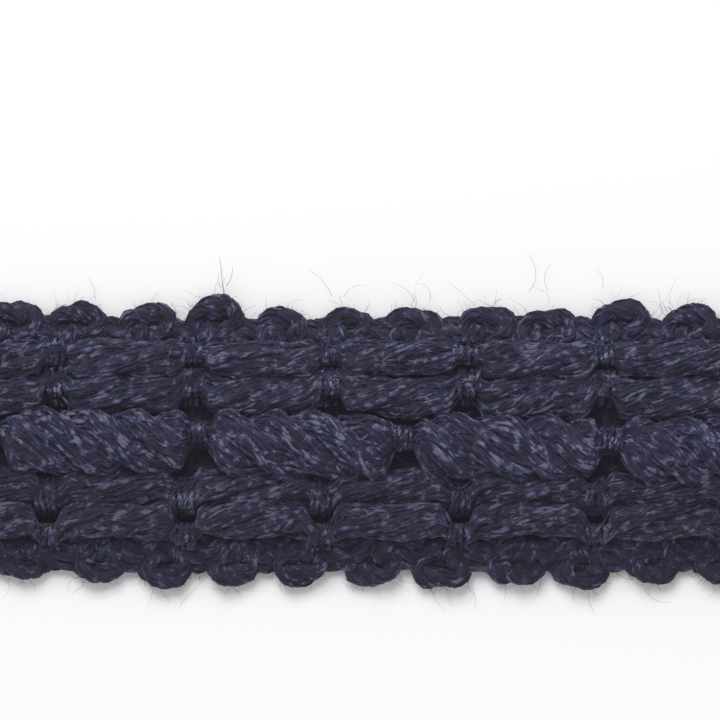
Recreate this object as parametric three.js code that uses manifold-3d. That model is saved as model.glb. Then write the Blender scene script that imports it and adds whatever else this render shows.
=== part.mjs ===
// A cut length of woven gimp braid in soft navy wool, lying flat on a surface.
// Millimetres. X runs along the trim, Y across it and Z up. The origin is under the middle of the length.
// The length is a whole number of pattern repeats, so cut lengths butt end to end in register.

import * as THREE from "three";
import { mergeVertices } from "three/addons/utils/BufferGeometryUtils.js";
import Module from "manifold-3d";

const wasm = await Module();
wasm.setup();

// Driving dimensions
const SCALLOP_PITCH = 3.66; // from one edge loop to the next
const SCALLOPS = 18; // pitches in the cut length, three repeats of six
const LENGTH = SCALLOP_PITCH * SCALLOPS;
const HALF_WIDTH = 7.77; // from the middle line to the crown of the tallest loop
const CLEARANCE = 0.3; // kept between pieces that lie against each other
const SWAY = 0.05; // how far the laid yarns wander together across the trim
const SWAY_WAVES = 5; // waves of that wander in the cut length

const ground = {
  upperReach: 6.7, // to the bottom of the notches between the loops
  lowerReach: 6.95,
  shoulder: 5.3, // where the thick middle steps down to the thin rim
  thickness: 0.95,
  rimThickness: 0.6,
};

const weft = {
  radius: 0.58, // of the thick yarn that turns round in each loop
  centreHeight: 0.45, // lower than its radius, so its underside is pressed flat
  turnRadius: 0.82, // of the yarn's middle line round the turn
  rootY: 4.9, // where a loop's legs end inside the ground
  sides: 7,
  steps: 10, // even, so that one ring stands at the crown
};

// Where the first loop right of the middle stands on each edge
const UPPER_LOOP_X = -0.54;
const LOWER_LOOP_X = 0.64;

// The eleven middle loops of each edge, left to right: how far each stands off the even pitch,
// and how far its crown falls short of the tallest
const FIRST_UNEVEN_LOOP = -5;
const UNEVEN_LOOPS = [
  { upperShift: 0.25, upperShort: 0.22, lowerShift: -0.55, lowerShort: 0.55 },
  { upperShift: 0.07, upperShort: 0.29, lowerShift: -0.04, lowerShort: 0.37 },
  { upperShift: 0.22, upperShort: 0.35, lowerShift: -0.11, lowerShort: 0.11 },
  { upperShift: 0.2, upperShort: 0, lowerShift: -0.18, lowerShort: 0.24 },
  { upperShift: 0.08, upperShort: 0.64, lowerShift: -0.19, lowerShort: 0.24 },
  { upperShift: 0, upperShort: 0.59, lowerShift: 0, lowerShort: 0.18 },
  { upperShift: -0.28, upperShort: 0.54, lowerShift: -0.01, lowerShort: 0.05 },
  { upperShift: 0.02, upperShort: 0.47, lowerShift: 0.34, lowerShort: 0.24 },
  { upperShift: -0.37, upperShort: 0.59, lowerShift: 0.17, lowerShort: 0 },
  { upperShift: -0.12, upperShort: 0.14, lowerShift: 0.36, lowerShort: 0.3 },
  { upperShift: -0.08, upperShort: 0.45, lowerShift: 0.18, lowerShort: 0.43 },
];
const EVEN_LOOP = { upperShift: 0, upperShort: 0.4, lowerShift: 0, lowerShort: 0.25 };

const LAID_UNDERSIDE = 1.25; // height of the underside of every laid yarn

// Each laid yarn: its place across the trim and its half sizes, in the middle of a float and where a
// tie pinches it. A tie also draws its yarn a little aside, which leaves a hole next to the band.
const sideYarns = [
  { y: 4.5, pinchedY: 4.6, halfWidth: 0.82, pinchedHalfWidth: 0.5, edge: "upper" },
  { y: 2.6, pinchedY: 3.05, halfWidth: 0.74, pinchedHalfWidth: 0.5, edge: "upper" },
  { y: -2.37, pinchedY: -2.8, halfWidth: 0.6, pinchedHalfWidth: 0.45, edge: "lower" },
  { y: -4.02, pinchedY: -4.5, halfWidth: 0.74, pinchedHalfWidth: 0.48, edge: "lower" },
];
const side = {
  halfHeight: 0.7,
  pinchedHalfHeight: 0.38,
  swellPower: 0.6, // how bluntly a float fills out from its tie
  plies: 2,
  plyDepth: 0.13, // of the groove between plies, as a share of the radius
  turns: -5, // of the plies in the cut length, rising to the right as seen from above
  sides: 8,
  floatStations: [0.08, 0.28, 0.5, 0.72, 0.92],
};

const cord = {
  y: -0.03,
  pinchedY: 0.35,
  halfWidth: 1.42,
  pinchedHalfWidth: 0.6,
  halfHeight: 1.15,
  pinchedHalfHeight: 0.5,
  swellPower: 0.45,
  plies: 3,
  plyDepth: 0.2,
  turns: 9, // falling to the right as seen from above
  sides: 12,
  floatSteps: 12,
};

const sideTies = {
  pitch: 2 * SCALLOP_PITCH,
  upperX: -1.6, // the upper tie nearest the middle
  lowerX: -2.04,
  count: 9,
  firstStep: -4,
  width: 1.3,
  pinchLength: 1.9,
  innerReach: 0.28, // past the pinched yarn, on the side of the cord
  outerReach: 0.45,
};
const cordTies = {
  pitch: 3 * SCALLOP_PITCH,
  x: 2.41,
  count: 6,
  firstStep: -3,
  width: 1.6,
  pinchLength: 2.2,
  reach: 0.42,
};
const TIE_THICKNESS = 0.3;
const TIE_CROWN = 0.07; // how much the middle of a band stands above its long edges
const TIE_STEPS = 12;

const materials = {
  ground: new THREE.MeshStandardMaterial({ color: "#2c2b3a", roughness: 0.95, metalness: 0 }),
  sideYarn: new THREE.MeshStandardMaterial({ color: "#363549", roughness: 0.9, metalness: 0 }),
  cord: new THREE.MeshStandardMaterial({ color: "#3b3a50", roughness: 0.9, metalness: 0 }),
  tie: new THREE.MeshStandardMaterial({ color: "#302f40", roughness: 0.85, metalness: 0 }),
};

const braid = new THREE.Group();

function addPiece(name, geometry, material) {
  const piece = new THREE.Mesh(geometry, material);
  piece.name = name;
  braid.add(piece);
}

// The geometry with its shared vertices merged, so that it is one closed surface.
function closed(geometry) {
  geometry.deleteAttribute("normal");
  geometry.deleteAttribute("uv");
  const merged = mergeVertices(geometry, 1e-4);
  merged.computeVertexNormals();
  return merged;
}

function solidOf(geometry) {
  const merged = closed(geometry);
  return new wasm.Manifold(
    new wasm.Mesh({
      numProp: 3,
      vertProperties: merged.attributes.position.array,
      triVerts: new Uint32Array(merged.index.array),
    }),
  );
}

function geometryOf(solid) {
  const mesh = solid.getMesh();
  const geometry = new THREE.BufferGeometry();
  geometry.setAttribute("position", new THREE.BufferAttribute(mesh.vertProperties, 3));
  geometry.setIndex(new THREE.BufferAttribute(mesh.triVerts, 1));
  geometry.computeVertexNormals();
  return geometry;
}

// The wander of all laid yarns at a place along the trim. It repeats with the cut length.
function sway(x) {
  return SWAY * Math.sin((2 * Math.PI * SWAY_WAVES * x) / LENGTH);
}

// Distance along the trim to the nearest tie of a row that repeats with a pitch.
function toNearestTie(x, tieX, pitch) {
  const past = (((x - tieX) % pitch) + pitch) % pitch;
  return Math.min(past, pitch - past);
}

// 0 under a tie and 1 in the middle of a float, filling out bluntly from the tie.
function swell(x, tieX, ties, power) {
  const floatLength = ties.pitch - ties.pinchLength;
  const along = (toNearestTie(x, tieX, ties.pitch) - ties.pinchLength / 2) / floatLength;
  return along <= 0 ? 0 : Math.sin(Math.PI * along) ** power;
}

// Places along a yarn that get a ring: both edges of each pinch, any inside it, and shares of each float.
function stations(tieX, ties, pinchShares, floatShares) {
  const floatLength = ties.pitch - ties.pinchLength;
  const places = [-LENGTH / 2, LENGTH / 2];
  for (let step = ties.firstStep - 1; step <= ties.firstStep + ties.count; step++) {
    const start = tieX + step * ties.pitch - ties.pinchLength / 2;
    pinchShares.forEach((share) => places.push(start + share * ties.pinchLength));
    floatShares.forEach((share) => places.push(start + ties.pinchLength + share * floatLength));
  }
  const shortestStep = 0.2;
  return places
    .filter((x) => Math.abs(x) <= LENGTH / 2)
    .sort((a, b) => a - b)
    .filter((x, i, all) => i === 0 || i === all.length - 1 || LENGTH / 2 - Math.abs(x) > shortestStep);
}

// Mirrors a geometry and keeps its faces outward, so that its facets are split along the other diagonal.
function mirror(geometry) {
  geometry.scale(1, 1, -1);
  const index = geometry.index;
  for (let i = 0; i < index.count; i += 3) {
    const first = index.getX(i);
    index.setX(i, index.getX(i + 1));
    index.setX(i + 1, first);
  }
}

// A closed yarn: a cylinder laid along X whose rings move to the stations. form(x) gives each ring its
// middle, half sizes and turn. The kind's plies stand as rounded lobes that turn with the ring, and the
// facets are split so that their edges run with the plies.
function yarn(places, kind, form) {
  const steps = places.length - 1;
  const geometry = new THREE.CylinderGeometry(1, 1, steps, kind.sides, steps);
  geometry.rotateZ(-Math.PI / 2);
  if (kind.turns > 0) mirror(geometry);
  const position = geometry.attributes.position;
  for (let i = 0; i < position.count; i++) {
    const x = places[Math.round(position.getX(i) + steps / 2)];
    const angle = Math.atan2(position.getZ(i), position.getY(i));
    const { y, z, halfWidth, halfHeight, turn } = form(x);
    const lobe = 1 - (kind.plyDepth / 2) * (1 - Math.cos(kind.plies * angle));
    const radius = Math.hypot(position.getY(i), position.getZ(i)) * lobe;
    position.setXYZ(
      i,
      x,
      y + halfWidth * radius * Math.cos(angle + turn),
      z + halfHeight * radius * Math.sin(angle + turn),
    );
  }
  return closed(geometry);
}

// The middle, half sizes and turn of a side yarn's ring.
function sideYarnForm(row, x) {
  const full = swell(x, sideTies[row.edge + "X"], sideTies, side.swellPower);
  const halfHeight = THREE.MathUtils.lerp(side.pinchedHalfHeight, side.halfHeight, full);
  return {
    y: THREE.MathUtils.lerp(row.pinchedY, row.y, full) + sway(x),
    z: LAID_UNDERSIDE + halfHeight,
    halfWidth: THREE.MathUtils.lerp(row.pinchedHalfWidth, row.halfWidth, full),
    halfHeight,
    turn: (2 * Math.PI * side.turns * x) / LENGTH,
  };
}

// The middle, half sizes and turn of the cord's ring.
function cordForm(x) {
  const full = swell(x, cordTies.x, cordTies, cord.swellPower);
  const halfHeight = THREE.MathUtils.lerp(cord.pinchedHalfHeight, cord.halfHeight, full);
  return {
    y: THREE.MathUtils.lerp(cord.pinchedY, cord.y, full) + sway(x),
    z: LAID_UNDERSIDE + halfHeight,
    halfWidth: THREE.MathUtils.lerp(cord.pinchedHalfWidth, cord.halfWidth, full),
    halfHeight,
    turn: (2 * Math.PI * cord.turns * x) / LENGTH,
  };
}

// Height of a smooth cover that keeps a clearance over the pinched yarns and over the ground.
function coverHeight(yarnForms, y, clearance) {
  const heights = yarnForms.map((form) => {
    const out = (y - form.y) / (form.halfWidth + clearance);
    const rise = Math.sqrt(Math.max(0, 1 - out * out));
    return Math.abs(out) < 1 ? form.z + (form.halfHeight + clearance) * rise : 0;
  });
  return Math.max(ground.thickness + clearance, ...heights);
}

// A band of binding threads across the yarns: a box whose faces follow the cover over them.
function tie(x, width, yarnForms, fromY, toY) {
  const geometry = new THREE.BoxGeometry(width, 1, 1, 2, TIE_STEPS, 1);
  const position = geometry.attributes.position;
  for (let i = 0; i < position.count; i++) {
    const across = position.getX(i);
    const y = THREE.MathUtils.lerp(fromY, toY, position.getY(i) + 0.5);
    const onTop = position.getZ(i) > 0;
    const low = coverHeight(yarnForms, y, CLEARANCE);
    const fall = TIE_CROWN * ((2 * across) / width) ** 2;
    const high = coverHeight(yarnForms, y, CLEARANCE + TIE_THICKNESS) - fall;
    position.setXYZ(i, x + across, y, onTop ? high : low);
  }
  return closed(geometry);
}

// The thick weft of one loop: out along one leg, round the turn and back along the other.
function weftLoop(x, crown, edge) {
  const halfSection = weft.radius * Math.cos(Math.PI / weft.sides / 2); // its outermost corners
  const turnY = crown - halfSection - weft.turnRadius;
  const points = [new THREE.Vector3(x - weft.turnRadius, edge * weft.rootY, weft.centreHeight)];
  const arcSteps = 6;
  for (let k = 0; k <= arcSteps; k++) {
    const angle = Math.PI * (1 - k / arcSteps);
    const y = turnY + weft.turnRadius * Math.sin(angle);
    points.push(new THREE.Vector3(x + weft.turnRadius * Math.cos(angle), edge * y, weft.centreHeight));
  }
  points.push(new THREE.Vector3(x + weft.turnRadius, edge * weft.rootY, weft.centreHeight));
  const section = new THREE.Shape();
  for (let k = 0; k < weft.sides; k++) {
    const angle = (2 * Math.PI * (k + 0.5)) / weft.sides;
    const corner = [weft.radius * Math.cos(angle), weft.radius * Math.sin(angle)];
    if (k === 0) section.moveTo(...corner);
    else section.lineTo(...corner);
  }
  return new THREE.ExtrudeGeometry(section, {
    steps: weft.steps,
    bevelEnabled: false,
    extrudePath: new THREE.CatmullRomCurve3(points),
  });
}

// The woven ground without its loops: its cross-section carried along X, longer and deeper than it ends up.
function groundSlab() {
  const spare = 1;
  const section = new THREE.Shape([
    new THREE.Vector2(-ground.lowerReach, -spare),
    new THREE.Vector2(ground.upperReach, -spare),
    new THREE.Vector2(ground.upperReach, ground.rimThickness),
    new THREE.Vector2(ground.shoulder, ground.thickness),
    new THREE.Vector2(-ground.shoulder, ground.thickness),
    new THREE.Vector2(-ground.lowerReach, ground.rimThickness),
  ]);
  const geometry = new THREE.ExtrudeGeometry(section, { depth: LENGTH + 2 * spare, bevelEnabled: false });
  const toTrim = new THREE.Matrix4().makeBasis(
    new THREE.Vector3(0, 1, 0),
    new THREE.Vector3(0, 0, 1),
    new THREE.Vector3(1, 0, 0),
  );
  geometry.applyMatrix4(toTrim);
  geometry.translate(-LENGTH / 2 - spare, 0, 0);
  return geometry;
}

// The ground and its loops joined, then cut square at both ends and flat underneath.
function groundBand() {
  let band = solidOf(groundSlab());
  for (let n = -SCALLOPS / 2; n <= SCALLOPS / 2; n++) {
    const row = UNEVEN_LOOPS[n - FIRST_UNEVEN_LOOP] ?? EVEN_LOOP;
    const upperX = UPPER_LOOP_X + n * SCALLOP_PITCH + row.upperShift;
    const lowerX = LOWER_LOOP_X + n * SCALLOP_PITCH + row.lowerShift;
    band = band.add(solidOf(weftLoop(upperX, HALF_WIDTH - row.upperShort, 1)));
    band = band.add(solidOf(weftLoop(lowerX, HALF_WIDTH - row.lowerShort, -1)));
  }
  const room = 10;
  const kept = new THREE.BoxGeometry(LENGTH, 2 * HALF_WIDTH + room, room);
  kept.translate(0, 0, room / 2);
  return geometryOf(band.intersect(solidOf(kept)));
}

addPiece("ground_band", groundBand(), materials.ground);

sideYarns.forEach((row, i) => {
  const places = stations(sideTies[row.edge + "X"], sideTies, [0, 1], side.floatStations);
  const geometry = yarn(places, side, (x) => sideYarnForm(row, x));
  addPiece("side_yarn_" + (i + 1), geometry, materials.sideYarn);
});

const cordPinchStations = [0, 1 / 3, 2 / 3, 1];
const cordFloatStations = Array.from({ length: cord.floatSteps - 1 }, (_, k) => (k + 1) / cord.floatSteps);
const cordPlaces = stations(cordTies.x, cordTies, cordPinchStations, cordFloatStations);
addPiece("centre_cord", yarn(cordPlaces, cord, cordForm), materials.cord);

for (const [edge, sign] of [
  ["upper", 1],
  ["lower", -1],
]) {
  const rows = sideYarns.filter((row) => row.edge === edge);
  for (let k = 0; k < sideTies.count; k++) {
    const x = sideTies[edge + "X"] + (sideTies.firstStep + k) * sideTies.pitch;
    const forms = rows.map((row) => sideYarnForm(row, x));
    const outerToInner = forms.toSorted((a, b) => sign * (b.y - a.y));
    const [outer, inner] = outerToInner;
    const outerY = outer.y + sign * (outer.halfWidth + sideTies.outerReach);
    const innerY = inner.y - sign * (inner.halfWidth + sideTies.innerReach);
    const geometry = tie(x, sideTies.width, forms, Math.min(outerY, innerY), Math.max(outerY, innerY));
    addPiece(edge + "_tie_" + (k + 1), geometry, materials.tie);
  }
}

for (let k = 0; k < cordTies.count; k++) {
  const x = cordTies.x + (cordTies.firstStep + k) * cordTies.pitch;
  const form = cordForm(x);
  const reach = form.halfWidth + cordTies.reach;
  const geometry = tie(x, cordTies.width, [form], form.y - reach, form.y + reach);
  addPiece("cord_tie_" + (k + 1), geometry, materials.tie);
}

export default braid;
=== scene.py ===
"""Dark navy woven gimp braid, lying flat on a plain pale floor.

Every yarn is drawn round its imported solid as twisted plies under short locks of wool: the four padding
yarns, the three-ply cord, the weft that turns round in the edge loops and the edge yarns beside it. The
binding threads are drawn strand by strand, and the woven ground cloth and the stray fibres are added.
Sizes are millimetres until a mesh is made, and metres in Blender.
"""

import math

import bpy
import numpy as np
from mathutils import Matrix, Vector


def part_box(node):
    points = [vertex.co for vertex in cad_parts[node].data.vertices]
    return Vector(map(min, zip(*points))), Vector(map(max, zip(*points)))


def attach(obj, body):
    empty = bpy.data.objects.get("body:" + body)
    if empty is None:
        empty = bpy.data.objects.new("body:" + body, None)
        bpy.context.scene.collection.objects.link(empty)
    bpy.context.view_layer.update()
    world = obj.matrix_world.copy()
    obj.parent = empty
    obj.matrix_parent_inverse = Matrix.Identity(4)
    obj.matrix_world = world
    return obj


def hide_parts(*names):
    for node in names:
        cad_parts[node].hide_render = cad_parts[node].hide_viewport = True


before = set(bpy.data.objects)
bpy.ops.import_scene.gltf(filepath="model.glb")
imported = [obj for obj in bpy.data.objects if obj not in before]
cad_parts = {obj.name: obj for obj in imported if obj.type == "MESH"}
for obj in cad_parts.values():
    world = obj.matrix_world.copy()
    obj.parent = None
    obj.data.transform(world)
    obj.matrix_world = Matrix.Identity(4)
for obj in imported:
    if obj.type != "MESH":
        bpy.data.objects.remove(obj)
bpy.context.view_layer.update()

MM = 0.001
TURN = 2 * math.pi
FLOOR_GAP = 0.01  # the wool's least height


def node_box(name):
    """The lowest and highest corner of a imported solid, in millimetres."""
    low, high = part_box(name)
    return np.array(low) / MM, np.array(high) / MM


def tie_places(kind, count):
    """Where the middles of one kind of tie stand along the trim."""
    boxes = np.array([node_box(f"{kind}_{k + 1}") for k in range(count)])
    return (boxes[:, 0, 0] + boxes[:, 1, 0]) / 2


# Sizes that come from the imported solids
HALF_LENGTH, HALF_WIDTH = node_box("ground_band")[1][:2]
LENGTH = 2 * HALF_LENGTH
SCALLOPS = 18
SCALLOP_PITCH = LENGTH / SCALLOPS
UPPER_TIE_X = tie_places("upper_tie", SCALLOPS // 2)
LOWER_TIE_X = tie_places("lower_tie", SCALLOPS // 2)
CORD_TIE_X = tie_places("cord_tie", SCALLOPS // 3)

# Yarns as they lie: the wool is fuller than its solid and touches its neighbours. y, half and height are a
# yarn's middle, half width and half height in a float, and tied_y, tied_half and tied_height those under a
# tie, over tied_length. A tie draws a side yarn aside, which leaves a dark hole on its inner side. The cord
# doesn't lie quite straight: it sways across the trim, and the yarns beside it move aside and grow wider
# with it. They also spread a little into the hollows at its ties.
UNDERSIDE = 0.95  # of the laid yarns, on the ground cloth
YARN_PARTS = (
    "node", "ties", "y", "half", "height", "tied_y", "tied_half", "tied_height", "tied_length", "rounding",
    "aside", "wider", "spread",
)
YARN_ROWS = [
    ("side_yarn_1", UPPER_TIE_X, 4.52, 1.0, 0.88, 4.78, 0.48, 0.7, 1.25, 0.42, 0.0, 0.0, 0.0),
    ("side_yarn_2", UPPER_TIE_X, 2.52, 1.08, 0.88, 3.2, 0.72, 0.7, 1.25, 0.42, -0.1, 0.1, 0.16),
    ("side_yarn_3", LOWER_TIE_X, -2.32, 0.9, 0.88, -2.82, 0.94, 0.7, 1.25, 0.42, -0.06, -0.06, 0.1),
    ("side_yarn_4", LOWER_TIE_X, -4.06, 1.03, 0.88, -4.87, 0.46, 0.7, 1.25, 0.42, 0.0, 0.0, 0.0),
    ("centre_cord", CORD_TIE_X, -0.14, 1.74, 1.3, 0.3, 0.56, 0.6, 1.4, 0.6, -0.24, 0.0, 0.0),
]
*SIDE_YARNS, CORD = YARNS = [dict(zip(YARN_PARTS, row)) for row in YARN_ROWS]
SWAY_PITCH = 76.0
SPREAD_LENGTH = 1.6

# An unevenness or a wander is a size and the shortest and longest pitch of its waves, as drift takes them.
# What is named for sizes or pitches is the least and the greatest share of the usual one.
YARN_WANDER = (0.04, 9, 25)
YARN_UNEVEN = (0.03, 4, 12)  # as a share of its half sizes
WEFT_UNEVEN = (0.05, 3, 12)
EDGE_WANDER = (0.04, 2, 7)

# Twist of each kind of yarn. A ply's middle stands at middle_share of the yarn's radius and the ply's own
# radius is ply_share of it. counter_twist 0 lays the fibres along the plies, and 1 turns them back to the
# yarn's own line, as in a balanced yarn. The soft yarns are covered with short locks of fibres, locks in
# number, each of about lock radius and lock_length, that turn aside by about stray radians round the ply.
# None lies below the lowest share of the yarn's height, or nearer to the trim's middle than covered. step
# is the way between two of the yarn's stations.
SIDE_TWIST = dict(
    plies=3, middle_share=0.44, ply_share=0.56, lay=-LENGTH / 5, counter_twist=0.45, step=0.5,
    locks=1750, lock=0.12, lock_length=(0.7, 1.9), stray=0.45, lowest=-0.3, covered=0.0,
)
CORD_TWIST = dict(
    plies=3, middle_share=0.46, ply_share=0.57, lay=LENGTH / 9, counter_twist=0.65, step=0.4,
    locks=2900, lock=0.125, lock_length=(0.7, 1.6), stray=0.4, lowest=-0.3, covered=0.0,
)
WEFT_TWIST = dict(
    plies=2, middle_share=0.36, ply_share=0.66, lay=4.6, counter_twist=0.3, step=0.36,
    locks=3850, lock=0.115, lock_length=(0.45, 1.0), stray=0.5, lowest=-0.5, covered=4.6,
)
EDGE_TWIST = dict(
    plies=2, middle_share=0.36, ply_share=0.66, lay=3.4, counter_twist=0.3, step=0.5,
    locks=240, lock=0.13, lock_length=(0.6, 1.6), stray=0.6, lowest=-0.2, covered=0.0,
)
# The binding threads have strands round one core instead of locks. Each strand stands proud of the core,
# off its even place by shift, wanders round the thread, and lies below its neighbours by dip, which comes
# and goes, and by up to sunk.
THREAD_TWIST = dict(
    plies=1, middle_share=0.0, ply_share=0.72, lay=1.5, step=0.18, proud=1.03, shift=0.4,
    strands=5, strand=0.066, strand_sizes=(0.65, 1.3), thinness=0.75, sides=3,
    wander=(0.15, 2.5, 9), dip=(0.05, 1.6, 5), sunk=0.06, uneven=(0.15, 1.5, 5),
)

STRAND_TONE_SPREAD = 0.1
SINKING_PAINTED_SHADE = 1.2  # painted shade: how much darker a strand is coloured for lying lower, and lighter for standing higher
MIDDLE_SUNK = 0.1

# A ply's closed inside under the locks, and the locks' own form. LOCK_SHARE has their stations, from 0 to 1
# along a lock, and LOCK_TAPER the radius at each. A tone of 0 is darkest and 1 palest.
CORE_SHARE = 0.9  # of the ply's radius
# painted shade: the cores are coloured darker than the locks, to shade the gaps between them
CORE_PAINTED_SHADE_TONE = 0.35
CORE_SIDES = 10
LOCK_SHARE = np.array([0.0, 0.2, 0.5, 0.8, 1.0])
LOCK_TAPER = np.array([0.3, 0.85, 1.0, 0.85, 0.3])
LOCK_SIZES = (0.55, 1.45)
LOCK_THINNESS = 0.6
LOCK_SIDES = 4
LOCK_LIFT = (-0.03, 0.25)  # of its middle over the ply, as a share of the ply's radius
LOCK_TONE_SPREAD = 0.17
LIFT_PAINTED_LIGHT = 1.3  # painted light and shade: how much lighter a lock is coloured for standing higher, and darker for lying lower
MIDDLE_LIFT = 0.1
COVERED_WITHIN = 0.6  # of the yarn's radius, where other plies hide a lock
RAGGED_END = 0.3  # the most that a lock stands past a cut end

# Places of stations: how far the closer ones lie from the side of a tie, how near to one of them an even
# one is left out, as a share of the step, and how far the last stay from a cut end
BESIDE_TIE = np.array([0.0, 0.05, 0.14, 0.28, 0.48, 0.74])
CROWDED = 0.4
END_MARGIN = 0.1

# The weft and its loops
WEFT_RADIUS = 0.62
WEFT_HALF_HEIGHT = 0.52
LOOP_HALF_GAP = 1.02  # from a loop's middle to its line where it is widest
LOOP_HALF_NECK = 0.64  # the same at its legs
LOOP_TURN_HEIGHT = 0.7  # of the middle line's turn, which is flatter than a half circle
LOOP_TURN = (1.2, -0.2)  # where that turn starts and ends, in half circles
LOOP_POINTS = 22
LOOP_ROUNDNESS = (0.75, 0.85)  # across and out, 1 for an ellipse and less for a squarer turn
LEG_FOOT, LEG_TOP = 4.8, 5.9  # of the straight stretch of a loop's leg, from the trim's middle line
WEFT_STRIDES = (18, 4, 2)  # between stations, in quarter steps: hidden, on the face and in the turns
WEFT_FACE = 6.3  # half width of the face
WEFT_WINDOW = 9
LOOP_STANDS_PROUD = 0.13  # of its packed crown
UPPER_LOOP_X, LOWER_LOOP_X = -0.54, 0.64  # of the loops nearest the middle, whose number is 0
# Of each loop whose place is known, from the left: how far it stands aside and how far its crown falls
# short, first on the upper edge and then on the lower
FIRST_UNEVEN_LOOP = -5
UNEVEN_LOOPS = [
    (0.25, 0.22, -0.55, 0.55), (0.07, 0.29, -0.04, 0.37), (0.22, 0.35, -0.11, 0.11), (0.2, 0.0, -0.18, 0.24),
    (0.08, 0.64, -0.19, 0.24), (0.0, 0.59, 0.0, 0.18), (-0.28, 0.54, -0.01, 0.05), (0.02, 0.47, 0.34, 0.24),
    (-0.37, 0.59, 0.17, 0.0), (-0.12, 0.14, 0.36, 0.3), (-0.08, 0.45, 0.18, 0.43),
]
EVEN_LOOP = (0.0, 0.4, 0.0, 0.25)

# Height of the weft's middle line at distances from the trim's middle line: under the laid yarns, up in a
# hump beside them, down at the edge line, and up again in the turn
WEFT_HEIGHTS = [(0.0, 0.5), (4.6, 0.6), (5.15, 1.0), (5.8, 1.02), (6.3, 0.6), (6.8, 0.68), (8.0, 0.6)]
WEFT_FULLNESS = [(0.0, 1.0), (4.8, 1.2), (5.7, 1.25), (6.2, 1.05), (8.0, 1.0)]  # of its half width

# Painted shade on the weft: the turns are coloured a little darker than the face, from TURN_STARTS on.
# So is the weft that the laid yarns shade, within LAID_OVER_WITHIN of the trim's middle line, which is
# seen through the holes at the ties. Each change is spread over its fade.
TURN_PAINTED_SHADE, TURN_STARTS, TURN_FADE = 0.2, 6.2, 0.6
LAID_OVER_PAINTED_SHADE, LAID_OVER_WITHIN, LAID_OVER_FADE = 0.6, 5.2, 0.4

# Edge yarns run under the loops' legs: how far each one's middle stands inside the edge line, its radius and
# its height. The outer one fills the notches between the loops, and the others the face between the legs.
EDGE_LINE = {1: 6.7, -1: 6.84}
EDGE_YARNS = [(0.42, 0.42, 0.36), (0.98, 0.5, 0.72), (1.6, 0.5, 0.86)]
EDGE_OUT, EDGE_ARCH = 0.05, 0.2  # midway between two legs, over its place on a leg
EDGE_ON_LEG, EDGE_FULLER = 0.85, 0.2  # as shares of its radius
EDGE_FLATNESS = 0.75

# The binding threads
THREAD_RADIUS = 0.17
THREAD_SIZES = (0.85, 1.15)
THREAD_RISE = 0.19  # of a thread's middle over the wool where it shows
THREAD_SUNK = -0.14  # and where the soft wool closes over it
THREAD_CLEARANCE = 0.05  # added to a yarn's half width
HOLE_FLOOR = 0.6  # height of the bottom of the holes that the threads dive into
SIDE_TIE_THREADS = 4
CORD_TIE_THREADS = 5
THREAD_PITCH = 0.31
THREAD_PITCHES = (0.85, 1.1)
THREAD_SPREADS = 0.8  # how far apart the threads lie where they fit the yarns, as a share of the pitch
THREAD_WANDER = (0.05, 1.5, 5)
THREAD_WAVER = (0.04, 1.2, 4)
BAND_SLOPE, BAND_BOW = 0.07, 0.05  # how unevenly a band crosses
PATH_SAMPLES = 400
PATH_WINDOW = 15
PATH_SLACK = 1.9  # stations for each step across, since a thread's path goes up and down
# Where a band's threads show: (middle, half length) of each stretch, from the trim's middle line
UPPER_SHOWN = [(4.65, 0.42), (2.85, 0.42), (5.45, 0.2)]
LOWER_SHOWN = [(-3.1, 0.62), (-4.85, 0.45)]
CORD_SHOWN = 0.55  # half length, about the tied cord's middle
SIDE_BAND_ENDS = (5.75, 1.85)
CORD_BAND_PAST = (0.5, 0.6)  # past the tied cord, above and below
# Ground threads that a side band also goes over, one outside the outer yarn and one between the inner yarn
# and the cord: the middle, out and up, and the half sizes of each
GROUND_THREADS = [(5.5, 1.2, 0.1, 0.5), (2.2, 1.2, 0.12, 0.5)]

# Stray fibres, thinned towards the tip by the taper. The face falls to CROWN_HEIGHT from CROWN_REACH inside
# the loops' crowns.
FIBRE_POINTS = 8
FIBRE_TAPER = 0.5
FIBRE_TONES = (0.25, 0.75)
FUZZ_MARGIN = 1  # from the cut ends
CROWN_REACH, CROWN_HEIGHT = 0.5, 0.3
# Those over the face: how far across the trim they reach, how far they lie from its length in radians, how
# much they curl and bend, how high their middles rise and how far all stay clear of the wool
FACE_FUZZ = dict(
    count=1250, reach=6.6, aslant=0.45, length=(0.6, 2.2), curl=0.2, bend=0.9,
    lift=0.12, clear=0.005, radius=(0.008, 0.015),
)
# Those of the edges, in two sorts: how many stand on a loop, their least and typical lengths, how much they
# curl and their greatest radius. All start round the loop's turn, a little past half of it in radians, and
# outside its line by shares of the weft's radius.
EDGE_FUZZ = [(28, 0.1, 0.17, 0.3, 0.01), (2, 0.5, 0.4, 0.22, 0.007)]
EDGE_FUZZ_FORM = dict(
    past_half=0.35, outside=(0.5, 0.95), aslant=0.7, bend=1.0, sizes=(0.5, 1.0),
    height=(0.3, 1.0), rise=0.4, lowest=0.02,
)
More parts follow.
